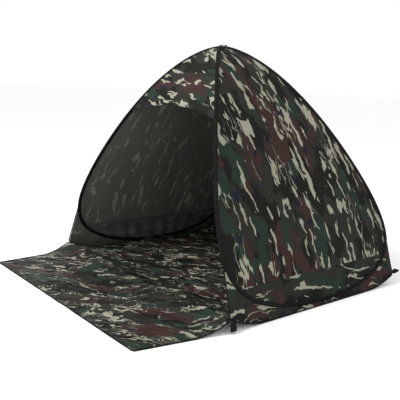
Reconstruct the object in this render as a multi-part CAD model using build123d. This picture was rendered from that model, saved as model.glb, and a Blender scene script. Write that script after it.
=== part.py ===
from build123d import *
import os
from math import cos, pi, sin, tan

# A pop up tent: two sprung steel hoops that lean together at the apex, each filled by a fabric
# wall, with a floor, a back wall, a brow over the doorway and a mat in front of it.
# Millimetres. The ground is z = 0, the doorway faces -Y and the floor's centre is the origin.

# ---- driving dimensions ----
floor_width = 1500.0
floor_depth = 1194.0
mat_length = 440.0
apex_height = 1243.0  # to the hoops' centreline
corner_lift = 58.0  # the hoops' pull holds the floor's corners this far off the ground
hem_lift = 36.0  # height of the threshold and of the rear hem at mid width

# ---- hoops ----
wire_radius = 2.0
sleeve_radius = 7.0
sleeve_wall = 1.4
ferrule_length = 36.0
ferrule_wall = 0.8
foot_height = 10.5  # centreline of a hoop at its lowest point
foot_y = 39.0  # where that lowest point is, behind the floor's centre
apex_shift = -96.0  # the apex stands this far in front of the lowest point
hoop_half_depth = 505.0
wall_reach = 783.0  # half the width that the two walls would reach at the ground
foot_tuck = 62.0  # how much the walls curl back in at the ground
apex_gap = 8.5  # from the middle plane to each hoop's centreline at the apex
apex_bend = 0.03  # share of the height over which the hoops turn parallel at the apex
path_corners = 48
shoulder = 1.0  # hoop angle at which the lower side leaves the door and rear edges, radians

# ---- fabric ----
cloth = 1.2
floor_cloth = 1.5
edge_inset = sleeve_radius + 3.2  # from a hoop's centreline to the edge of what is sewn to it
band_height = 165.0  # top of the lower band of each wall
gusset_inset = edge_inset + 3.0
brow_side_height = 880.0
brow_arch = 50.0
lift_start = 0.6  # share of the half depth at which the floor starts to rise
mat_slope = 190.0  # length over which the mat comes down to the ground
mat_left_inset = 17.0  # the mat's far corners, measured in from the floor's side edges
mat_right_inset = 83.0
binding_radius = 3.0
joint_gap = 1.0

# ---- peg loops ----
loop_length = 46.0
loop_width = 26.0
webbing = 1.5
loop_flat = 14.0  # length from the root over which the two layers are sewn together
eye_radius = 4.5

half_width = floor_width / 2
half_depth = floor_depth / 2
right, left = 1, -1
front, rear = -1, 1


# ---- the hoop's curve ----
def reach(rise):
    """Distance of a wall from the middle plane, rise going from 0 at the foot to 1 at the apex."""
    drop = 1 - rise
    lean = drop * ((1 + apex_bend) / (drop + apex_bend)) ** 0.395
    return apex_gap + (wall_reach - apex_gap) * lean - foot_tuck * drop**8


def hoop_point(angle):
    """A point of the right hoop's centreline. Angle 0 is the foot; the rear half comes first."""
    rise = (1 - cos(angle)) / 2
    c = cos(angle)
    swell = 1 + 0.53 * c + 0.289 * c**2 + 0.16 * c**3
    y = foot_y + apex_shift * rise + hoop_half_depth * sin(angle) * swell
    z = foot_height + (apex_height - foot_height) * rise
    return Vector(reach(rise), y, z)


def angles(start, end, count):
    return [start + (end - start) * i / (count - 1) for i in range(count)]


def corner_radii(points):
    """The fillet radius for each corner of a route, leaving a third of every run straight."""
    radii = []
    for i in range(1, len(points) - 1):
        before = points[i] - points[i - 1]
        after = points[i + 1] - points[i]
        turn = before.get_angle(after) * pi / 180
        radii.append(0.34 * min(before.length, after.length) / tan(turn / 2))
    return radii


def tube(route, radius, bore=0.0):
    """A round tube along straight runs joined by tangent arcs."""
    path = FilletPolyline(*route, radius=corner_radii(route))
    section = Circle(radius)
    if bore:
        section -= Circle(bore)
    return sweep(Plane(path @ 0, z_dir=path % 0) * section, path=path)


def hoop_parts():
    """The sprung wire, the ferrule that joins its ends and the fabric sleeve round both."""
    step = 2 * pi / path_corners
    route = [hoop_point(i * step) for i in range(path_corners)]
    seam = (route[0] + route[-1]) / 2
    along = (route[0] - route[-1]).normalized()
    half_gap = along * 0.5
    open_route = [seam + half_gap, *route, seam - half_gap]
    wire = tube(open_route, wire_radius)
    bore = wire_radius + 0.05
    ferrule_end = Circle(bore + ferrule_wall) - Circle(bore)
    ferrule_place = Plane(seam, z_dir=along)
    ferrule = extrude(ferrule_place * ferrule_end, amount=ferrule_length / 2, both=True)
    sleeve = tube(open_route, sleeve_radius, sleeve_radius - sleeve_wall)
    return {"hoop_wire": wire, "hoop_ferrule": ferrule, "hoop_sleeve": sleeve}


# ---- walls: bent in one direction only, then cut to outline ----
def offset_line(points, distance):
    """Points moved sideways in their own plane, to the left of the way they run."""
    moved = []
    for i, (a, b) in enumerate(points):
        before = points[max(i - 1, 0)]
        after = points[min(i + 1, len(points) - 1)]
        along = Vector(after[0] - before[0], after[1] - before[1]).normalized()
        moved.append((a - along.Y * distance, b + along.X * distance))
    return moved


def strip(plane, points, thickness, length):
    """A bent sheet: a line in a plane, given a thickness and run out to both sides."""
    inner = offset_line(points, thickness)
    outline = Spline(*points) + Line(points[-1], inner[-1])
    outline += Spline(*inner[::-1]) + Line(inner[0], points[0])
    return extrude(plane * make_face(outline), amount=length, both=True)


def wall_sheet():
    """The right wall's whole bent sheet, a little wider than the hoop."""
    profile = [(p.X, p.Z) for p in map(hoop_point, angles(0.05, pi - 0.02, 16))]
    return strip(Plane.XZ, profile, cloth, floor_depth)


def hoop_window():
    """The outline inside the sleeve, seen from the side, as a closed line."""
    turns = angles(0, 2 * pi, 37)
    points = [(p.Y, p.Z) for p in map(hoop_point, turns)]
    inside = offset_line(points, edge_inset)
    return Spline(*inside[1:-1], periodic=True)


def side_wall():
    """The upper panel of a wall and the lower band sewn to it."""
    window = Plane.YZ * make_face(hoop_window())
    panel = wall_sheet() & extrude(window, amount=wall_reach)
    seam = Box(2 * wall_reach, 2 * floor_depth, joint_gap)
    panel -= Pos(0, 0, band_height) * seam
    band, upper = sorted(panel.solids(), key=lambda solid: solid.center().Z)
    return {"wall_panel": upper, "lower_band": band}


def wall_line(sign, low, high, count):
    """The hoops' front or rear edge seen from the side, from an angle of low to one of high."""
    turns = [sign * turn for turn in angles(low, high, count)]
    return [(p.Y, p.Z) for p in map(hoop_point, turns)]


def between_hoops(low_angle, low_edge):
    """Outline of a panel between the hoops, seen from the front, above a lower edge."""
    side = [hoop_point(turn) for turn in angles(low_angle, pi - 0.12, 12)]
    right_side = [(p.X - edge_inset - 3, p.Z) for p in side]
    left_side = [(-x, z) for x, z in right_side]
    outline = Spline(*right_side) + Line(right_side[-1], left_side[-1])
    outline += Spline(*left_side[::-1]) + low_edge(right_side[0], left_side[0])
    return Plane.XZ * make_face(outline)


def back_wall():
    profile = wall_line(rear, shoulder, pi - 0.06, 14)
    foot = (half_depth - 2, corner_lift - 30)
    slope = (profile[0][0] - foot[0]) / (profile[0][1] - foot[1])
    steps = [foot[1] + (profile[0][1] - foot[1]) * share for share in (0, 0.3, 0.6)]
    lower = [(foot[0] + (z - foot[1]) * slope, z) for z in steps]
    sheet = strip(Plane.YZ, lower + profile, cloth, half_width)

    def to_floor(right_end, left_end):
        corner = (half_width - 12, corner_lift + 4)
        middle = (0, hem_lift + 4)
        opposite = (-corner[0], corner[1])
        lines = Line(left_end, opposite) + ThreePointArc(opposite, middle, corner)
        return lines + Line(corner, right_end)

    return sheet & extrude(between_hoops(shoulder, to_floor), amount=-floor_depth)


def brow_panel():
    share = (brow_side_height - foot_height) / (apex_height - foot_height)
    low_angle = next(turn for turn in angles(0, pi, 2000) if (1 - cos(turn)) / 2 > share)
    profile = wall_line(front, shoulder + 0.3, pi - 0.06, 14)
    sheet = strip(Plane.YZ, profile, -cloth, half_width)

    def arch(right_end, left_end):
        return ThreePointArc(left_end, (0, right_end[1] + brow_arch), right_end)

    return sheet & extrude(between_hoops(low_angle, arch), amount=floor_depth)


# ---- floor and mat ----
def hem_height(x):
    """Height of the threshold and of the rear hem."""
    return hem_lift + (corner_lift - hem_lift) * (x / half_width) ** 2


def floor_height(x, y):
    start = lift_start * half_depth
    share = max(0.0, abs(y) - start) / (half_depth - start)
    return hem_height(x) * share**2


def mat_edge(side, out):
    """The mat's side edge at a distance out from the threshold."""
    inset = mat_right_inset if side == right else mat_left_inset
    return side * (half_width - inset * out / mat_length)


def mat_point(across, out):
    """A point of the mat's underside, across going from 0 on the left to 1 on the right."""
    left_x, right_x = mat_edge(left, out), mat_edge(right, out)
    x = left_x + (right_x - left_x) * across
    fall = max(0.0, 1 - out / mat_slope) ** 2
    return Vector(x, -half_depth - joint_gap - out, hem_height(x) * fall)


def laid_sheet(grid, thickness):
    """A sheet on the ground, from rows of points of its underside."""
    return extrude(Face.make_surface_from_array_of_points(grid), amount=thickness, dir=(0, 0, 1))


def floor_sheet():
    """A flat middle, which is the face the tent stands on, and two ends that rise to the corners."""
    xs = angles(-half_width, half_width, 17)
    flat_end = lift_start * half_depth
    sheet = Box(floor_width, 2 * flat_end, floor_cloth, align=(Align.CENTER, Align.CENTER, Align.MIN))
    for end in (-1, 1):
        ys = angles(end * flat_end, end * half_depth, 9)
        sheet += laid_sheet([[Vector(x, y, floor_height(x, y)) for y in ys] for x in xs], floor_cloth)
    return sheet


def front_mat():
    shares = angles(0, 1, 15)
    outs = angles(0, mat_length, 17)
    return laid_sheet([[mat_point(share, out) for out in outs] for share in shares], floor_cloth)


def beside(point, way):
    """A centreline point for a binding whose skin just clears a sheet's edge and the ground."""
    clear = binding_radius + 0.3
    height = max(point.Z + floor_cloth / 2, binding_radius)
    return Vector(point.X, point.Y, height) + Vector(*way).normalized() * clear


def mat_edge_binding():
    outs = (8, 60, 120, 180)
    left_side = [beside(mat_point(0, out), (-1, 0)) for out in outs]
    right_side = [beside(mat_point(1, out), (1, 0)) for out in outs]
    left_corner = beside(mat_point(0, mat_length), (-1, -1))
    right_corner = beside(mat_point(1, mat_length), (1, -1))
    return tube([*left_side, left_corner, right_corner, *right_side[::-1]], binding_radius)


def floor_edge_binding():
    """The bound right side edge, which rises to the front and rear corners."""
    ys = (-585, -535, -485, -430, -370, 370, 430, 485, 535, 585)
    points = [Vector(half_width, y, floor_height(half_width, y)) for y in ys]
    return tube([beside(point, (1, 0)) for point in points], binding_radius)


# ---- gussets: from a hoop's lower side to the floor's side edge ----
def gusset(end):
    """The front or rear gusset of the right side."""
    upper, lower = [], []
    for share in angles(0.08, 0.985, 14):
        turn = end * shoulder * (1 - share)
        on_hoop = hoop_point(turn)
        along = (hoop_point(turn + 0.01) - hoop_point(turn - 0.01)).normalized()
        y = end * half_depth * (1 - share**2) + foot_y * share**2
        edge = Vector(half_width - 2, y, floor_height(half_width, y) + floor_cloth + 0.8)
        across = edge - on_hoop
        across -= along * across.dot(along)
        upper.append(on_hoop + across.normalized() * gusset_inset)
        lower.append(edge)
    face = Face.make_surface_from_curves(Spline(*upper), Spline(*lower))
    return extrude(face, amount=cloth, dir=(0.7, 0, 0.7))


def door_binding():
    """The bound edge from the right hoop's front down to the floor's corner."""
    top = hoop_point(-shoulder)
    bottom = Vector(half_width, -half_depth, corner_lift + floor_cloth)
    along = (bottom - top).normalized()
    start = top + along * (sleeve_radius + binding_radius + 5)
    start += Vector(0, -binding_radius - 1, 0)
    length = (bottom - start).length - 10
    return extrude(Plane(start, z_dir=along) * Circle(binding_radius), amount=length)


# ---- small pieces ----
def apex_tie():
    """A flat tape loop that holds the two sleeves side by side at the apex."""
    inner = Pos(0, apex_height) * SlotCenterToCenter(2 * apex_gap, 2 * sleeve_radius + 3.2)
    outer = Pos(0, apex_height) * SlotCenterToCenter(2 * apex_gap, 2 * sleeve_radius + 5.2)
    tape = extrude(Plane.XZ * (outer - inner), amount=8, both=True)
    return Pos(0, hoop_point(pi).Y, 0) * tape


def peg_loop(root, way, width_way):
    """A loop of webbing, straight along its back, sewn flat at its root and open at its eye."""
    thick = eye_radius + webbing
    eye = Pos(loop_length - thick, thick)
    root_end = Pos(webbing, webbing) * Circle(webbing)
    outer = make_hull(root_end.edges() + (eye * Circle(thick)).edges())
    eye_root = Pos(loop_flat, webbing + 0.5) * Circle(0.5)
    inner = make_hull(eye_root.edges() + (eye * Circle(eye_radius)).edges())
    place = Plane(root, x_dir=way, z_dir=width_way)
    return extrude(place * (outer - inner), amount=loop_width / 2, both=True)


def corner_loop(end):
    """The right side's front loop, which hangs, or its rear loop, which stands out behind."""
    if end == front:
        outside_binding = half_width + 2 * binding_radius + 1.6
        root = Vector(outside_binding, 5 - half_depth, corner_lift - 4)
        return peg_loop(root, (0, 0, -1), (0, -1, 0))
    root = Vector(half_width - loop_width / 4, half_depth + 2, corner_lift)
    return peg_loop(root, (0, 1, 0.12), (1, 0, 0))


def right_side():
    """Every piece of the right side that has a mirror image on the left, by its plain name."""
    pieces = {**hoop_parts(), **side_wall()}
    for end, place in ((front, "front"), (rear, "rear")):
        pieces[f"{place}_gusset"] = gusset(end)
        pieces[f"{place}_peg_loop"] = corner_loop(end)
    pieces["door_binding"] = door_binding()
    pieces["floor_binding"] = floor_edge_binding()
    return pieces


def middle():
    return {
        "back_wall": back_wall(),
        "brow_panel": brow_panel(),
        "floor_sheet": floor_sheet(),
        "front_mat": front_mat(),
        "mat_edge_binding": mat_edge_binding(),
        "apex_tie": apex_tie(),
    }


os.makedirs("parts", exist_ok=True)
for name, piece in right_side().items():
    export_step(piece, f"parts/right_{name}.step")
    export_step(mirror(piece, about=Plane.YZ), f"parts/left_{name}.step")
for name, piece in middle().items():
    export_step(piece, f"parts/{name}.step")
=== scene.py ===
import math

import bpy
import numpy as np
from mathutils import Matrix, Vector, noise


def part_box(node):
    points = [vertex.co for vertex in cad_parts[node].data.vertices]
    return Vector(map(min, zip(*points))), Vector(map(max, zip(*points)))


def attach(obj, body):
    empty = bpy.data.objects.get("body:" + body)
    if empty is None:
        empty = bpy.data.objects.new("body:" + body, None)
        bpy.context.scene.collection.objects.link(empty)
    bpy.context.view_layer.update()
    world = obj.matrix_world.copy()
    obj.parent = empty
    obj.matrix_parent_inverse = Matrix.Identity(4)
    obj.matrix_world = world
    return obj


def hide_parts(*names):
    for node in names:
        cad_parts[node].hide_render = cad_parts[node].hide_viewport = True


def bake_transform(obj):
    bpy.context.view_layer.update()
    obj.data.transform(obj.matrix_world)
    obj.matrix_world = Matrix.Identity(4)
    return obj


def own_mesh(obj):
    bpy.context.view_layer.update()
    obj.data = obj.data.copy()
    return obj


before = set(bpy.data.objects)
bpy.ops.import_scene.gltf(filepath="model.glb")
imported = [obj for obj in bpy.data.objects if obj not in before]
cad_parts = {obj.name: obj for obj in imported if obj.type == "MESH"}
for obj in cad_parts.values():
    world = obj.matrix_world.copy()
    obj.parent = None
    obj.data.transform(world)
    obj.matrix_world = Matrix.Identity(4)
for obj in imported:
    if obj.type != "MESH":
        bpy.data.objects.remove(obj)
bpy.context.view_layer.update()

# ---- sizes in metres, from the CAD frame where it holds them ----
FLOOR_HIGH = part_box("floor_sheet")[1]
MAT_LOW, MAT_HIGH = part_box("front_mat")
THICK_FLOOR = 0.0015
THICK_CLOTH = 0.0012
BINDING_R = 0.003
SLEEVE_R = 0.007
SLEEVE_HALF_WIDTH = 0.0105  # the tape sleeve lies wider along the wall than it is thick

HALF_WIDTH = FLOOR_HIGH.x
HALF_DEPTH = FLOOR_HIGH.y
CORNER_LIFT = FLOOR_HIGH.z - THICK_FLOOR  # how high the floor's hem rises at a corner
HEM_LIFT = 0.036  # and in the middle of its front or rear edge
LIFT_START = 0.6  # the share of the half depth where the floor starts to rise

MAT_LENGTH = MAT_HIGH.y - MAT_LOW.y
MAT_SLOPE = 0.19  # how far out the mat comes down to the ground
MAT_INSET = {-1: 0.017, 1: 0.083}  # how much the mat narrows on its left and right

FOOT_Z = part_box("right_hoop_sleeve")[0].z + SLEEVE_R
FOOT_Y = 0.039
APEX_Z = 1.243
APEX_GAP = 0.0085  # from the middle plane to a hoop's centreline at the apex
APEX_SHIFT = -0.096  # how far forward of the foot the apex lies
HOOP_HALF_DEPTH = 0.505
HOOP_SWELL = (0.53, 0.289, 0.16)  # makes a hoop fuller at its foot than at its apex
WALL_REACH = 0.783
WALL_LEAN = 0.395  # the power of a wall's curve, from its foot to the apex
FOOT_TUCK = 0.062  # how far a wall turns in again at its foot
APEX_BEND = 0.03
SHOULDER = 1.0  # the hoop angle where the gussets end and the back wall leaves the hoops
BAND_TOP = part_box("right_lower_band")[1].z
BROW_SIDE_Z, BROW_ARCH = 0.880, 0.050

PRINT_TURN = {"wall": 9, "band": 8, "between": 14, "floor": 32}  # degrees the print runs off a panel's line
LAID_SEED = 3.0  # the floor and the mat share one field of folds, so that they meet at the threshold
RIGHT, LEFT = 1, -1
BODY = {RIGHT: "right_side", LEFT: "left_side"}
WORD = {RIGHT: "right", LEFT: "left"}


# ---- the hoop's curve ----
def reach(rise):
    """Distance of a wall from the middle plane, rise going from 0 at the foot to 1 at the apex."""
    drop = 1 - rise
    lean = drop * ((1 + APEX_BEND) / (drop + APEX_BEND)) ** WALL_LEAN
    return APEX_GAP + (WALL_REACH - APEX_GAP) * lean - FOOT_TUCK * drop**8


def hoop_point(angle, side=RIGHT):
    """A point of a hoop's centreline. Angle 0 is the foot; the rear half comes first."""
    rise = (1 - math.cos(angle)) / 2
    c = math.cos(angle)
    swell = 1 + HOOP_SWELL[0] * c + HOOP_SWELL[1] * c**2 + HOOP_SWELL[2] * c**3
    y = FOOT_Y + APEX_SHIFT * rise + HOOP_HALF_DEPTH * math.sin(angle) * swell
    z = FOOT_Z + (APEX_Z - FOOT_Z) * rise
    return Vector((side * reach(rise), y, z))


def angle_at(height):
    """The hoop angle at a height, on the rear half."""
    rise = (height - FOOT_Z) / (APEX_Z - FOOT_Z)
    return math.acos(max(-1.0, min(1.0, 1 - 2 * rise)))


def hem_height(x):
    """Height of the floor's front or rear edge, which is lowest in the middle."""
    return HEM_LIFT + (CORNER_LIFT - HEM_LIFT) * (x / HALF_WIDTH) ** 2


def floor_height(x, y):
    """Height of the floor, which is flat in the middle and rises to both ends."""
    start = LIFT_START * HALF_DEPTH
    share = max(0.0, abs(y) - start) / (HALF_DEPTH - start)
    return hem_height(x) * share**2


def smooth(t):
    """Goes from 0 to 1 as t does, with no kink at either end."""
    t = max(0.0, min(1.0, t))
    return t * t * (3 - 2 * t)


# ---- node material helpers ----
class Nodes:
    """A short way to write a material's node tree."""

    def __init__(self, name):
        self.material = bpy.data.materials.new(name)
        self.material.use_nodes = True
        self.tree = self.material.node_tree
        self.shader = self.tree.nodes["Principled BSDF"]

    def add(self, kind, inputs=None, **settings):
        node = self.tree.nodes.new(kind)
        for key, value in settings.items():
            setattr(node, key, value)
        for key, value in (inputs or {}).items():
            self.put(node.inputs[key], value)
        return node

    def put(self, socket, value):
        if isinstance(value, bpy.types.NodeSocket):
            self.tree.links.new(value, socket)
        else:
            socket.default_value = value

    def math(self, operation, *values, clamp=False):
        node = self.add("ShaderNodeMath", operation=operation, use_clamp=clamp)
        for socket, value in zip(node.inputs, values):
            self.put(socket, value)
        return node.outputs[0]

    def noise(self, vector, scale, detail=2.0, rough=0.5, distortion=0.0):
        inputs = {"Vector": vector, "Scale": scale, "Detail": detail, "Roughness": rough}
        inputs["Distortion"] = distortion
        return self.add("ShaderNodeTexNoise", inputs).outputs[0]

    def step(self, value, low, high):
        """0 below low, 1 above high, with a soft edge between."""
        node = self.add("ShaderNodeMapRange", {0: value, 1: low, 2: high})
        return node.outputs[0]

    def mix(self, share, first, second):
        node = self.add("ShaderNodeMix", data_type="RGBA")
        self.put(node.inputs[0], share)
        self.put(node.inputs[6], first)
        self.put(node.inputs[7], second)
        return node.outputs[2]

    def bump(self, height, strength, distance, normal=None):
        inputs = {"Height": height, "Strength": strength, "Distance": distance}
        if normal is not None:
            inputs["Normal"] = normal
        return self.add("ShaderNodeBump", inputs).outputs[0]


def linear(red, green, blue):
    """A colour given as 0 to 255 display values, for a shader's socket."""

    def decoded(v):
        return v / 255 / 12.92 if v <= 10 else ((v / 255 + 0.055) / 1.055) ** 2.4

    return (decoded(red), decoded(green), decoded(blue), 1.0)


def darker(colour, share):
    return tuple(c * share for c in colour[:3]) + (1.0,)


# ---- fabric materials ----
CHARCOAL = linear(40, 39, 35)
SOOT = linear(25, 25, 22)
GREEN = linear(34, 47, 39)
BROWN = linear(54, 38, 36)
NAVY = linear(26, 29, 44)
CREAM = linear(146, 145, 128)
# The inner side's coating grey, lightened with painted light for the light that comes through the walls.
REVERSE = linear(122, 123, 116)
# A darker copy of the inner side's grey for the lower band: painted shade, where less light comes through the
# cloth.
SHADED_BAND_REVERSE = linear(84, 84, 81)
WEAVE_PER_METRE = 1400


def cloth_vector(n):
    """The cloth's own coordinates in metres: x across the print's streaks, y along them."""
    return n.add("ShaderNodeAttribute", attribute_name="cloth_m").outputs["Vector"]


def stretched(n, vector, across, along, shift=0.0):
    """Coordinates scaled apart, and shifted so that two patterns don't repeat each other."""
    node = n.add("ShaderNodeMapping", {"Vector": vector, "Location": (shift, shift * 1.7, shift * 0.6)})
    node.inputs["Scale"].default_value = (across, along, 1.0)
    return node.outputs[0]


def woodland(n, vector, fine=1.0, sway=0.062, lined=0.0):
    """The woodland print: soft dark patches, with hard-edged pale streaks and thin forked lines.
    lined turns the streaks into the long thin lines that show on the floor."""
    shaken = stretched(n, vector, 24 * fine, 13 + 90 * lined)
    shake = n.add("ShaderNodeTexNoise", {"Vector": shaken, "Scale": 1.0, "Detail": 3.5 - 25 * lined})
    middle = {0: shake.outputs["Color"], 1: (0.5, 0.5, 0.5)}
    centred = n.add("ShaderNodeVectorMath", middle, operation="SUBTRACT")
    small = n.add("ShaderNodeVectorMath", {0: centred.outputs[0], "Scale": sway}, operation="SCALE")
    moved = n.add("ShaderNodeVectorMath", {0: vector, 1: small.outputs[0]}, operation="ADD").outputs[0]

    def patch(across, along, low, high, shift, detail=2.0):
        value = n.noise(stretched(n, moved, across * fine, along, shift), 1.0, detail, 0.5)
        return n.step(value, low, high)

    colour = n.mix(patch(9, 4.5, 0.48, 0.52, 3.1), CHARCOAL, SOOT)
    colour = n.mix(patch(8, 3.0, 0.55, 0.58, 11.3), colour, BROWN)
    colour = n.mix(patch(10, 4.0, 0.575, 0.595, 27.9), colour, GREEN)
    colour = n.mix(patch(22, 9, 0.655, 0.67, 41.7), colour, NAVY)
    blobs = patch(25, 6.5, 0.648 + lined / 2, 0.658 + lined / 2, 5.7, 1.6)
    flames = patch(34, 5.2, 0.648 + lined / 3, 0.658 + lined / 3, 63.1, 1.0)
    streak = n.noise(stretched(n, moved, 30 * fine, 5, 19.1), 1.0, 1.0, 0.4)
    near = n.math("ABSOLUTE", n.math("SUBTRACT", streak, 0.53))
    thin = n.math("SUBTRACT", 1.0, n.step(near, 0.012, 0.02))
    group = patch(8, 3.6, 0.565 - 1.6 * lined, 0.58 - 1.6 * lined, 33.3)
    lines = n.math("MULTIPLY", thin, group)
    pale = n.math("MAXIMUM", n.math("MAXIMUM", blobs, flames), lines)
    return colour, pale


def weave_height(n, vector, per_metre):
    """Fine plain weave, seen as a faint grid of threads."""
    inputs = {"Vector": vector, "Scale": per_metre / 20, "Distortion": 0.4, "Detail": 1.0}
    warp, weft = (
        n.add("ShaderNodeTexWave", inputs, wave_type="BANDS", bands_direction=way).outputs[1] for way in "XY"
    )
    return n.math("MULTIPLY", warp, weft)


def cloth_normal(n, vector, weave):
    """The crinkles of thin coated cloth, with its weave over them."""
    crinkle = n.noise(stretched(n, vector, 26, 18), 1.0, 5.0, 0.62, 0.6)
    normal = n.bump(crinkle, 0.35, 0.004)
    return n.bump(weave_height(n, vector, WEAVE_PER_METRE), weave, 0.0003, normal)


def printed_cloth(name, rough=0.62, gloss=0.05, fine=1.0, sway=0.062, lined=0.0):
    """The printed side of the coated polyester."""
    n = Nodes(name)
    vector = cloth_vector(n)
    colour, pale = woodland(n, vector, fine, sway, lined)
    fade = n.step(n.noise(vector, 4.0, 3.0), 0.2, 0.8)
    cream = n.mix(fade, darker(CREAM, 0.82), CREAM)
    colour = n.mix(pale, colour, cream)
    if lined:
        # painted shade: the print of the floor and the mat is darkened towards near black deep between its
        # folds
        painted_fold_shade = n.add("ShaderNodeAttribute", attribute_name="painted_fold_shade").outputs["Fac"]
        colour = n.mix(n.math("MULTIPLY", painted_fold_shade, 0.8), colour, SOOT)
    n.put(n.shader.inputs["Base Color"], colour)
    n.shader.inputs["Roughness"].default_value = rough
    n.shader.inputs["Specular IOR Level"].default_value = gloss
    n.put(n.shader.inputs["Normal"], cloth_normal(n, vector, 0.12))
    return n.material


def reverse_cloth(name, base=REVERSE, print_shine_through=0.3):
    """The coated inner side: the coating's grey, lightened with painted light for the light that comes
    through the cloth, in which the print shows faintly.
    """
    n = Nodes(name)
    vector = cloth_vector(n)
    colour, pale = woodland(n, vector)
    colour = n.mix(pale, colour, CREAM)
    # painted light: the print shows faintly in the light that comes through the cloth
    n.put(n.shader.inputs["Base Color"], n.mix(print_shine_through, base, colour))
    n.shader.inputs["Roughness"].default_value = 0.5
    n.shader.inputs["Specular IOR Level"].default_value = 0.15
    n.put(n.shader.inputs["Normal"], cloth_normal(n, vector, 0.1))
    return n.material


def silver_coat(name):
    """The pale coated underside of the floor and the mat."""
    n = Nodes(name)
    vector = cloth_vector(n)
    worn = n.noise(vector, 14.0, 4.0)
    n.put(n.shader.inputs["Base Color"], n.mix(worn, linear(120, 121, 118), linear(158, 159, 156)))
    n.shader.inputs["Roughness"].default_value = 0.45
    crinkle = n.noise(vector, 30.0, 4.0, 0.6, 0.5)
    n.put(n.shader.inputs["Normal"], n.bump(crinkle, 0.3, 0.003))
    return n.material


def woven_tape(name, grain=900.0, dark=(15, 15, 15), light=(30, 30, 30)):
    """Bound tape, webbing or thread, with a ribbed weave."""
    n = Nodes(name)
    vector = n.add("ShaderNodeTexCoord").outputs["Object"]
    dust = n.noise(vector, 60.0, 4.0)
    n.put(n.shader.inputs["Base Color"], n.mix(dust, linear(*dark), linear(*light)))
    n.shader.inputs["Roughness"].default_value = 0.7
    n.shader.inputs["Specular IOR Level"].default_value = 0.05
    rib = n.noise(vector, grain, 2.0, 0.7)
    n.put(n.shader.inputs["Normal"], n.bump(rib, 0.4, 0.0006))
    return n.material


def steel(name, colour):
    """Oiled spring steel or a crimped tube, brushed along its length."""
    n = Nodes(name)
    vector = n.add("ShaderNodeTexCoord").outputs["Object"]
    scratch = n.noise(stretched(n, vector, 900, 60), 1.0, 3.0)
    n.put(n.shader.inputs["Base Color"], n.mix(scratch, colour, darker(colour, 0.7)))
    n.shader.inputs["Metallic"].default_value = 1.0
    dulled = n.add("ShaderNodeMapRange", {0: scratch, 3: 0.25, 4: 0.45}).outputs[0]
    n.put(n.shader.inputs["Roughness"], dulled)
    return n.material


MATERIALS = {
    "print": printed_cloth("woodland_print"),
    # the walls' inner side, with painted light coming through the cloth
    "reverse": reverse_cloth("woodland_reverse", REVERSE, 0.46),
    # painted shade: the band's inner side is darker, with less print showing, as less light comes through it
    "shaded_band_reverse": reverse_cloth("shaded_band_reverse", SHADED_BAND_REVERSE, 0.16),
    "floor_print": printed_cloth("floor_print", 0.42, 0.07, 1.6, 0.056, 0.06),
    "silver": silver_coat("silver_coat"),
    "tape": woven_tape("black_tape"),
    "webbing": woven_tape("black_webbing", 600.0),
    "thread": woven_tape("grey_thread", 900.0, (105, 105, 100), (128, 128, 122)),
    "wire": steel("spring_steel", linear(120, 122, 126)),
    "ferrule": steel("ferrule_steel", linear(160, 160, 165)),
}


# ---- mesh helpers ----
def mesh_object(name, points, faces, cloth=None, materials=("tape",)):
    """A mesh in the scene. cloth holds each point's place on its own cloth, in metres."""
    mesh = bpy.data.meshes.new(name)
    mesh.from_pydata([tuple(p) for p in points], [], faces)
    if cloth is not None:
        attribute = mesh.attributes.new("cloth_m", "FLOAT_VECTOR", "POINT")
        attribute.data.foreach_set("vector", np.array(cloth, np.float32).ravel())
    mesh.validate()
    for face in mesh.polygons:
        face.use_smooth = True
    for key in materials:
        mesh.materials.append(MATERIALS[key])
    obj = bpy.data.objects.new(name, mesh)
    bpy.context.scene.collection.objects.link(obj)
    return obj


def grid_faces(rows, columns):
    """Quads of a grid whose points run along each row in turn."""
    faces = []
    for i in range(rows - 1):
        for j in range(columns - 1):
            a = i * columns + j
            faces.append((a, a + 1, a + columns + 1, a + columns))
    return faces


def apply_modifiers(obj):
    """Bakes the modifiers into the mesh."""
    graph = bpy.context.evaluated_depsgraph_get()
    mesh = bpy.data.meshes.new_from_object(obj.evaluated_get(graph))
    obj.modifiers.clear()
    obj.data = mesh


def solid_cloth(obj, thickness=THICK_CLOTH):
    """Gives a sheet two faces: the second material slot is its other side."""
    modifier = obj.modifiers.new("cloth", "SOLIDIFY")
    modifier.thickness = thickness
    modifier.offset = -1.0
    modifier.material_offset = 1
    modifier.use_even_offset = False
    modifier.use_quality_normals = True
    apply_modifiers(obj)


def displaced(points, rows, columns, height):
    """Moves grid points along their normals by height(row share, column share, point)."""
    grid = np.array([tuple(p) for p in points]).reshape(rows, columns, 3)
    du = np.gradient(grid, axis=1)
    dv = np.gradient(grid, axis=0)
    normal = np.cross(du, dv)
    normal /= np.maximum(np.linalg.norm(normal, axis=2, keepdims=True), 1e-9)
    amounts = np.zeros((rows, columns, 1))
    for i in range(rows):
        for j in range(columns):
            amounts[i, j] = height(i / (rows - 1), j / (columns - 1), grid[i, j])
    return (grid + normal * amounts).reshape(-1, 3)


def point_value(obj, name, values):
    """Keeps one number for each of a mesh's points."""
    attribute = obj.data.attributes.new(name, "FLOAT", "POINT")
    attribute.data.foreach_set("value", np.array(values, np.float32))


def panel(name, points, rows, columns, height, cloth, reverse="reverse", side=RIGHT, flip=False, across=None):
    """A printed panel with its relief and two faces, mirrored if it is on the left."""
    moved = displaced(points, rows, columns, height)
    moved[:, 0] = moved[:, 0] * side
    faces = grid_faces(rows, columns)
    if flip:
        faces = [tuple(reversed(face)) for face in faces]
    obj = mesh_object(name, moved, faces, cloth, ("print", reverse))
    if across is not None:
        point_value(obj, "across", across)
    solid_cloth(obj)
    return obj


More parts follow.
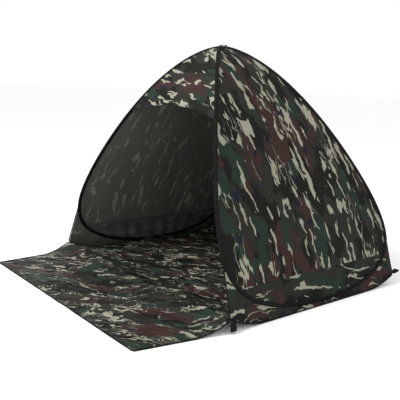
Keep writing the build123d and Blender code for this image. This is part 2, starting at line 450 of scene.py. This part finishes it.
def turned(across, along, degrees):
    """Cloth coordinates turned, so that the print's streaks run the way a panel was cut."""
    c, s = math.cos(math.radians(degrees)), math.sin(math.radians(degrees))
    return (across * c + along * s, along * c - across * s, 0.0)


def wrinkle(x, y, z=0.0):
    """Smooth noise of about -1 to 1, the same at each run."""
    return noise.noise(Vector((x, y, z)))


# ---- side walls ----
def arc_heights(angles):
    """Length along the wall's bent profile at each hoop angle, from the foot."""
    points = [hoop_point(a) for a in angles]
    lengths = [0.0]
    for a, b in zip(points, points[1:]):
        lengths.append(lengths[-1] + math.hypot(b.x - a.x, b.z - a.z))
    return lengths


def wall_height(side):
    """Relief of a wall: broad slack between the hoop's sides, and tension folds from its corners."""

    def height(v, u, p):
        edge = smooth(min(u, 1 - u) / 0.12) * smooth(min(v, 1 - v) / 0.08)
        broad = 0.008 * wrinkle(p[1] * 3.1, p[2] * 2.3, side * 4)
        fine = 0.0016 * wrinkle(p[1] * 13, p[2] * 8, side * 9)
        dy, dz = 0.62 - p[1], p[2] - 0.16  # from the rear lower corner
        reach_out = math.exp(-((dy - 0.10) ** 2 + (dz - 0.06) ** 2) / 0.035)
        folds = 0.006 * math.sin(62 * (dy * 0.78 - dz * 0.62)) * reach_out
        return edge * (broad + fine + folds)

    return height


def wall_panel(side):
    """The upper panel of a wall, from the band's seam to the apex."""
    rows, columns, inset = 120, 110, 0.004
    low, high = angle_at(BAND_TOP), math.pi - 0.03
    angles = [low + (high - low) * i / (rows - 1) for i in range(rows)]
    lengths = arc_heights(angles)
    points, cloth = [], []
    for i, a in enumerate(angles):
        front, rear = hoop_point(-a), hoop_point(a)
        for j in range(columns):
            u = j / (columns - 1)
            y = front.y + inset + (rear.y - front.y - 2 * inset) * u
            points.append((front.x, y, front.z))
            cloth.append(turned(y + 2.0 * side, lengths[i], PRINT_TURN["wall"] * side))
    name = f"{WORD[side]}_wall_cloth"
    return panel(name, points, rows, columns, wall_height(side), cloth, side=side, flip=side == LEFT)


def lower_band(side):
    """The band along the foot of a wall, gathered into upright folds, cut across the print."""
    rows, columns = 44, 220
    low, high = 0.06, angle_at(BAND_TOP)
    angles = [low + (high - low) * i / (rows - 1) for i in range(rows)]
    lengths = arc_heights(angles)
    points, cloth = [], []
    for i, a in enumerate(angles):
        front, rear = hoop_point(-a), hoop_point(a)
        for j in range(columns):
            y = front.y + 0.003 + (rear.y - front.y - 0.006) * j / (columns - 1)
            points.append((front.x, y, front.z))
            cloth.append(turned(lengths[i] + 5.0 + side, y, PRINT_TURN["band"] * side))

    def height(v, u, p):
        edge = smooth(min(u, 1 - u) / 0.06) * smooth(v / 0.1) * smooth((1 - v) / 0.12)
        fan = p[1] * 62 * (1 - 1.2 * (p[2] - 0.08)) + 2.2 * wrinkle(p[1] * 3, p[2] * 3, side)
        pleat = 0.006 * math.sin(fan) * (0.35 + 0.65 * abs(wrinkle(p[1] * 7, 0.5, side)))
        return edge * (pleat + 0.002 * wrinkle(p[1] * 8, p[2] * 12, side * 2))

    name = f"{WORD[side]}_band_cloth"
    return panel(name, points, rows, columns, height, cloth, "shaded_band_reverse", side, side == LEFT)


# ---- tubes and tapes ----
def tube_mesh(name, path, radii, sides=12, closed=False, material="tape", squeeze=None, face_normal=None):
    """A tube round a path. radii gives its two half widths, and squeeze(i) scales them on the way.
    face_normal(i) is the direction of the second half width, which otherwise is upright."""
    count = len(path)
    points, faces = [], []
    frame_up = Vector((0, 0, 1))
    for i, p in enumerate(path):
        before = path[(i - 1) % count] if closed or i else path[0]
        after = path[(i + 1) % count] if closed or i < count - 1 else path[-1]
        along = (after - before).normalized()
        across = along.cross(face_normal(i) if face_normal else frame_up)
        if across.length < 0.05:
            across = along.cross(Vector((1, 0, 0)))
        across.normalize()
        up = across.cross(along)
        scale = squeeze(i) if squeeze else 1.0
        for k in range(sides):
            turn = 2 * math.pi * k / sides
            offset = across * radii[0] * scale * math.cos(turn) + up * radii[1] * scale * math.sin(turn)
            points.append(p + offset)
    rings = count if closed else count - 1
    for i in range(rings):
        for k in range(sides):
            a, b = i * sides + k, i * sides + (k + 1) % sides
            c, d = ((i + 1) % count) * sides + (k + 1) % sides, ((i + 1) % count) * sides + k
            faces.append((a, b, c, d))
    if not closed:
        faces.append(tuple(range(sides))[::-1])
        faces.append(tuple((count - 1) * sides + k for k in range(sides)))
    return mesh_object(name, points, faces, None, (material,))


def wall_normal(angle, side):
    """The outward normal of a wall at a hoop's point. The wall runs straight along Y there."""
    rise = (1 - math.cos(angle)) / 2
    step = 0.002
    low, high = max(0.0, rise - step), min(1.0, rise + step)
    profile = Vector((side * (reach(high) - reach(low)), 0, (APEX_Z - FOOT_Z) * (high - low)))
    return Vector((0, side, 0)).cross(profile).normalized()


def hoop_sleeve(side):
    """The tape sleeve round a hoop, flat against the wall and slightly puckered by its stitching."""
    count = 420
    turns = [2 * math.pi * i / count for i in range(count)]
    path = []
    for a in turns:
        ahead = (hoop_point(a + 0.01, side) - hoop_point(a - 0.01, side)).normalized()
        inward = wall_normal(a, side).cross(ahead) * side
        path.append(hoop_point(a, side) + inward * (SLEEVE_HALF_WIDTH - SLEEVE_R - 0.0005))

    def pucker(i):
        return 1 + 0.04 * wrinkle(i * 0.37, side * 3.0, 0.0)

    def normal(i):
        return wall_normal(turns[i], side)

    half_widths = (SLEEVE_HALF_WIDTH, SLEEVE_R)
    return tube_mesh(f"{WORD[side]}_sleeve_tape", path, half_widths, 16, True, "tape", pucker, normal)


# ---- gussets ----
def gusset(side, end):
    """The triangle of cloth from the hoop's lower side to the floor's side edge."""
    rows, columns = 60, 24
    points, cloth = [], []
    for i in range(rows):
        share = 0.985 * i / (rows - 1)
        on_hoop = hoop_point(end * SHOULDER * (1 - share))
        y = end * HALF_DEPTH * (1 - share**2) + FOOT_Y * share**2
        edge = Vector((HALF_WIDTH - 0.001, y, floor_height(HALF_WIDTH, y) + THICK_FLOOR))
        for j in range(columns):
            point = on_hoop.lerp(edge, j / (columns - 1))
            points.append(point)
            cloth.append(turned(point.z + 9.0 + end, point.y, PRINT_TURN["band"] * side))

    def height(v, u, p):
        edge = smooth(u / 0.1) * smooth((1 - u) / 0.15) * smooth(v / 0.06) * smooth((1 - v) / 0.1)
        broad = 0.005 * wrinkle(p[1] * 14, p[2] * 9, end * 3)
        return edge * (broad + 0.002 * wrinkle(p[1] * 40, p[2] * 20, 1))

    name = f"{WORD[side]}_{'front' if end < 0 else 'rear'}_gusset_cloth"
    return panel(name, points, rows, columns, height, cloth, side=side, flip=side == end)


# ---- back wall and brow ----
def panel_between(name, end, low_angle, rows, columns, height, extra_rows=()):
    """A panel between the hoops, from a lower line up to the apex. low_angle(share) is the hoop angle
    of that line, share going from 0 at the right hoop to 1 at the left. extra_rows lie below it."""
    points, cloth, shares = [], [], []

    def add(share, x, y, z):
        points.append((x, y, z))
        cloth.append(turned(z * 1.2 + 3.0, x + 7.0, PRINT_TURN["between"]))
        shares.append(share)

    every_share = [j / (columns - 1) for j in range(columns)]
    for row in extra_rows:
        for share in every_share:
            add(share, *row(share))
    top = math.pi - 0.05
    for i in range(rows):
        for share in every_share:
            low = low_angle(share)
            p = hoop_point(end * (low + (top - low) * (i / (rows - 1))))
            add(share, (p.x - 0.003) * (1 - 2 * share), p.y, p.z)
    rows += len(extra_rows)
    return panel(name, points, rows, columns, height, cloth, flip=end < 0, across=shares)


def brow():
    """The panel above the doorway, whose lower edge arches up in the middle."""
    side_angle = angle_at(BROW_SIDE_Z)
    mid_angle = angle_at(BROW_SIDE_Z + BROW_ARCH)

    def low_angle(share):
        arch = 1 - (1 - 2 * share) ** 2
        return side_angle + (mid_angle - side_angle) * arch

    def height(_, u, p):
        edge = smooth(min(u, 1 - u) / 0.15)
        return edge * (0.006 * wrinkle(p[0] * 4, p[2] * 5, 3) + 0.002 * wrinkle(p[0] * 16, p[2] * 18, 5))

    return panel_between("brow_cloth", -1, low_angle, 50, 90, height)


def back_wall():
    """The wall opposite the doorway, from the floor's rear edge to the apex."""
    top = hoop_point(SHOULDER)

    def lower_row(t):
        def row(share):
            x_high = (top.x - 0.003) * (1 - 2 * share)
            x_low = (HALF_WIDTH - 0.004) * (1 - 2 * share)
            low = Vector((x_low, HALF_DEPTH - 0.002, hem_height(x_low) + THICK_FLOOR))
            high = Vector((x_high, top.y, top.z))
            return tuple(low.lerp(high, t))

        return row

    def height(v, u, p):
        edge = smooth(min(u, 1 - u) / 0.1) * smooth(v / 0.05)
        broad = 0.007 * wrinkle(p[0] * 2.6, p[2] * 2.2, 8)
        return edge * (broad + 0.002 * wrinkle(p[0] * 13, p[2] * 8, 2))

    lower = [lower_row(i / 30) for i in range(30)]
    return panel_between("back_wall_cloth", 1, lambda share: SHOULDER, 110, 130, height, lower)


def bend_between_hoops(obj):
    """Bakes a panel's placement into its points and reads each point's share from the right hoop to the left,
    which nothing uses.
    """
    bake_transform(obj)
    count = len(obj.data.vertices)
    share = np.zeros(count, np.float32)
    obj.data.attributes["across"].data.foreach_get("value", share)


# ---- floor and mat ----
def ridge(value):
    """A sharp fold wherever a noise value passes through 0."""
    return max(0.0, 1 - 2.6 * abs(value)) ** 1.5


def laid_relief(x, y, seed=LAID_SEED):
    """Height of the folds of a slack sheet on the ground. They run the way its print does."""
    turn = math.radians(PRINT_TURN["floor"])
    c, s = math.cos(turn), math.sin(turn)
    along, across = x * c + y * s, y * c - x * s
    sway = 0.05 * wrinkle(along * 4, across * 5, seed)
    broad = ridge(wrinkle(along * 1.6, (across + sway) * 9, seed + 5))
    folds = ridge(wrinkle(along * 3.2, (across + sway) * 21, seed + 11))
    fine = ridge(wrinkle(along * 8, (across + sway) * 46, seed + 17))
    slack = 0.45 + 0.9 * smooth(0.5 + wrinkle(x * 2.1, y * 2.3, seed + 23))
    return slack * (0.009 * broad + 0.010 * folds + 0.004 * fine)


def laid_cloth(name, points, reliefs, rows, columns):
    """A sheet on the ground. It keeps how deep each point lies between the folds, from 0 on a ridge
    to 1 at the bottom of a fold, which sets how much painted shade darkens the print there."""
    cloth = [turned(y + 12.0, x, -PRINT_TURN["floor"]) for x, y, z in points]
    obj = mesh_object(name, points, grid_faces(rows, columns), cloth, ("floor_print", "silver"))
    # painted shade: how strongly the print is darkened at each point, from its depth between the folds
    point_value(obj, "painted_fold_shade", [smooth(1 - relief / 0.007) ** 2 for relief in reliefs])
    solid_cloth(obj)
    return obj


def floor_cloth():
    rows, columns = 300, 300
    points, reliefs = [], []
    for i in range(rows):
        y = -HALF_DEPTH + 2 * HALF_DEPTH * i / (rows - 1)
        for j in range(columns):
            x = -HALF_WIDTH + 2 * HALF_WIDTH * j / (columns - 1)
            edge = smooth(min(HALF_WIDTH - abs(x), HALF_DEPTH - abs(y)) / 0.06)
            relief = laid_relief(x, y)
            reliefs.append(relief)
            points.append((x, y, floor_height(x, y) + THICK_FLOOR + edge * relief))
    return laid_cloth("floor_cloth", points, reliefs, rows, columns)


def mat_point(across, out):
    """A point of the mat: across goes from 0 at its left to 1, and out is metres from the threshold."""
    left_x = -(HALF_WIDTH - MAT_INSET[-1] * out / MAT_LENGTH)
    right_x = HALF_WIDTH - MAT_INSET[1] * out / MAT_LENGTH
    x = left_x + (right_x - left_x) * across
    fall = max(0.0, 1 - out / MAT_SLOPE) ** 2
    return Vector((x, -HALF_DEPTH - out, hem_height(x) * fall))


def mat_cloth():
    rows, columns = 120, 320
    points, reliefs = [], []
    for i in range(rows):
        out = MAT_LENGTH * (1 - i / (rows - 1))
        for j in range(columns):
            across = j / (columns - 1)
            p = mat_point(across, out)
            edge = smooth(min(across, 1 - across) * 1.5 / 0.05) * smooth((MAT_LENGTH - out) / 0.04)
            relief = laid_relief(p.x, p.y)
            reliefs.append(relief)
            points.append((p.x, p.y, p.z + THICK_FLOOR + (0.25 + 0.75 * edge) * relief))
    return laid_cloth("mat_cloth", points, reliefs, rows, columns)


def mat_binding():
    """The bound tape round the mat's two sides and its outer edge."""
    clear = BINDING_R + 0.0003
    path = []

    def add(across, out, way):
        p = mat_point(across, out)
        z = max(BINDING_R, p.z + THICK_FLOOR / 2 + 0.25 * laid_relief(p.x, p.y))
        path.append(Vector((p.x, p.y, z)) + Vector(way).normalized() * clear)

    steps = 60
    for i in range(steps):
        add(0, 0.008 + (MAT_LENGTH - 0.010) * i / (steps - 1), (-1, 0, 0))
    for i in range(1, 2 * steps):
        add(i / (2 * steps), MAT_LENGTH, (0, -1, 0))
    for i in range(steps):
        add(1, MAT_LENGTH - 0.002 - (MAT_LENGTH - 0.010) * i / (steps - 1), (1, 0, 0))
    return tube_mesh("mat_binding_tape", path, (BINDING_R, BINDING_R), 10)


def crumple(obj):
    """Gives a piece its own copy of its mesh; it doesn't bunch the floor or the mat up."""
    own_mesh(obj)


RING_POINTS = 48


def apex_ring(y, grow):
    """A rounded ring round both hoops' sleeves at the apex."""
    low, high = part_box("apex_tie")
    centre = (low + high) / 2
    half_x = max((high.x - low.x) / 2, 0.0235) + grow
    half_z = max((high.z - low.z) / 2, 0.0105) + grow
    ring = []
    for i in range(RING_POINTS):
        turn = 2 * math.pi * i / RING_POINTS
        squared = max(abs(math.cos(turn)), abs(math.sin(turn))) ** 0.8
        x = centre.x + half_x * math.cos(turn) / squared
        ring.append(Vector((x, y, centre.z + half_z * math.sin(turn) / squared)))
    return ring


def apex_wrap():
    """The webbing band that ties the two hoops, and the light thread wound over it."""
    low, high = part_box("apex_tie")
    rows = 12
    points, faces = [], []
    for k in range(rows):
        points += apex_ring(low.y + (high.y - low.y) * k / (rows - 1), 0.0003 * wrinkle(k, 1.0))
    for k in range(rows - 1):
        for i in range(RING_POINTS):
            a, b = k * RING_POINTS + i, k * RING_POINTS + (i + 1) % RING_POINTS
            faces.append((a, b, b + RING_POINTS, a + RING_POINTS))
    band = mesh_object("apex_band", points, faces, None, ("webbing", "webbing"))
    solid_cloth(band, 0.001)
    threads = []
    for k in range(4):
        ring = apex_ring(low.y + (high.y - low.y) * (k + 0.7) / 4.4, 0.0008)
        threads.append(tube_mesh(f"apex_thread_{k}", ring, (0.0007, 0.0007), 8, True, "thread"))
    return band, threads


# ---- build the fabric ----
for side in (RIGHT, LEFT):
    word, body = WORD[side], BODY[side]
    wall = wall_panel(side)
    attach(wall, body)
    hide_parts(f"{word}_wall_panel")
    band = lower_band(side)
    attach(band, body)
    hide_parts(f"{word}_lower_band")
    sleeve = hoop_sleeve(side)
    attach(sleeve, body)
    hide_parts(f"{word}_hoop_sleeve")
    for end, place in ((-1, "front"), (1, "rear")):
        piece = gusset(side, end)
        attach(piece, body)
        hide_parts(f"{word}_{place}_gusset")

for piece, node in ((brow(), "brow_panel"), (back_wall(), "back_wall")):
    bend_between_hoops(piece)
    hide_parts(node)

floor = floor_cloth()
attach(floor, "right_side")
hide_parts("floor_sheet")
crumple(floor)
mat = mat_cloth()
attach(mat, "front_mat")
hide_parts("front_mat")
crumple(mat)
tape = mat_binding()
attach(tape, "front_mat")
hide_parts("mat_edge_binding")
crumple(tape)

band, threads = apex_wrap()
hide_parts("apex_tie")
for piece in (band, *threads):
    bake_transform(piece)

for name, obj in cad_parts.items():
    key = "tape"
    if name.endswith("wire"):
        key = "wire"
    elif name.endswith("ferrule"):
        key = "ferrule"
    elif "loop" in name:
        key = "webbing"
    obj.data.materials.clear()
    obj.data.materials.append(MATERIALS[key])


# ---- ground, light and camera ----
def stage():
    """The pale studio floor."""
    bpy.ops.mesh.primitive_plane_add(size=160, location=(0, 0, -0.0008))
    ground = bpy.context.object
    ground.name = "studio_floor"
    n = Nodes("studio_paper")
    n.shader.inputs["Base Color"].default_value = (0.97, 0.97, 0.97, 1)
    n.shader.inputs["Roughness"].default_value = 0.9
    ground.data.materials.append(n.material)


def area_light(name, location, target, size, power):
    """A square lamp aimed at a point."""
    data = bpy.data.lights.new(name, "AREA")
    data.size = size
    data.energy = power
    lamp = bpy.data.objects.new(name, data)
    lamp.location = location
    lamp.rotation_euler = (Vector(target) - Vector(location)).to_track_quat("-Z", "Y").to_euler()
    bpy.context.scene.collection.objects.link(lamp)


def world_light(strength):
    """Even white light from all round."""
    world = bpy.data.worlds.new("studio")
    world.use_nodes = True
    background = world.node_tree.nodes["Background"]
    background.inputs[0].default_value = (1, 1, 1, 1)
    background.inputs[1].default_value = strength
    bpy.context.scene.world = world


def camera():
    """The viewing angle: 50.7 degrees round from the doorway and 10.9 up, rolled by 2.1."""
    azimuth, elevation, roll = math.radians(50.7), math.radians(10.9), 0.037
    target, distance = Vector((0.4637, -0.5587, 0.528)), 2.722
    back = Vector(
        (
            math.sin(azimuth) * math.cos(elevation),
            -math.cos(azimuth) * math.cos(elevation),
            math.sin(elevation),
        )
    )
    data = bpy.data.cameras.new("camera")
    data.sensor_width = 36
    data.lens = 601.5 / 400 * data.sensor_width  # a focal length of 601.5 pixels in a 400 pixel frame
    eye = bpy.data.objects.new("camera", data)
    look = (-back).to_track_quat("-Z", "Y").to_matrix().to_4x4()
    place = Matrix.Translation(target + back * distance)
    eye.matrix_world = place @ look @ Matrix.Rotation(roll, 4, "Z")
    bpy.context.scene.collection.objects.link(eye)
    bpy.context.scene.camera = eye


bpy.context.scene.view_settings.view_transform = "Standard"
stage()
world_light(1.0)
area_light("key", (-0.6, -3.6, 4.2), (0, -0.4, 0.4), 1.6, 190)
area_light("fill", (4.5, 1.0, 3.0), (0, 0, 0.5), 3.0, 15)
camera()
